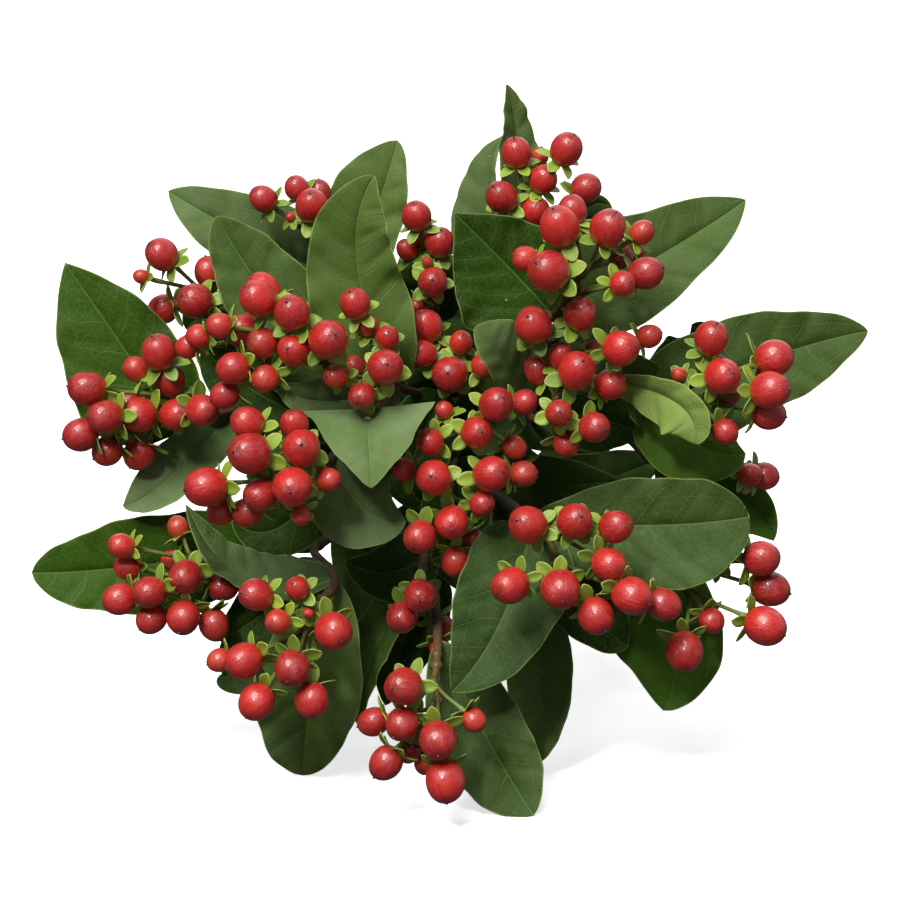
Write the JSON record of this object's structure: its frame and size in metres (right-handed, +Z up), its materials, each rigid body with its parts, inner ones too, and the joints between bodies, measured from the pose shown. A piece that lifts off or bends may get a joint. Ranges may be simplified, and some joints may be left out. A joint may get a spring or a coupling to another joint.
{
  "type": "bunch of hypericum berry stems",
  "caption": "Bunch of cut hypericum stems with broad green leaves and clusters of glossy red berries, held by a rubber band and lying on its side.",
  "frame": {"origin": "middle of the part's box in plan, on the surface that the bunch lies on", "axes": "+Z up, +Y along the stems from the head to the cut ends, +X across the head, to the right as it is looked at from -Y"},
  "size_m": [0.2488, 0.4138, 0.2047],
  "materials": {
    "berry": "satin, softly glossy red skin",
    "leaf_and_wood": "satin dark green blades on brown-green wood",
    "rubber_band": "matt tan rubber"
  },
  "bodies": {
    "root": {"leafy_stem_1": "leaf_and_wood", "leafy_stem_2": "leaf_and_wood", "leafy_stem_3": "leaf_and_wood", "leafy_stem_4": "leaf_and_wood", "leafy_stem_5": "leaf_and_wood", "leafy_stem_6": "leaf_and_wood", "leafy_stem_7": "leaf_and_wood", "leafy_stem_8": "leaf_and_wood", "leafy_stem_9": "leaf_and_wood", "leafy_stem_10": "leaf_and_wood", "leafy_stem_11": "leaf_and_wood", "leafy_stem_12": "leaf_and_wood", "berries_e": "berry", "berries_d1": "berry", "berries_n": "berry", "berries_r": "berry", "berries_h": "berry", "berries_d2": "berry", "berries_o1": "berry", "berries_o2": "berry", "berries_p": "berry", "berries_g": "berry", "berries_j2": "berry", "berries_j1": "berry", "berries_s": "berry", "berries_a": "berry", "berries_m": "berry", "berries_f": "berry", "berries_l": "berry", "berries_i": "berry", "berries_b": "berry", "berries_c": "berry", "berries_k": "berry", "berries_q": "berry", "rubber_band": "rubber_band"}
  },
  "joints": []
}
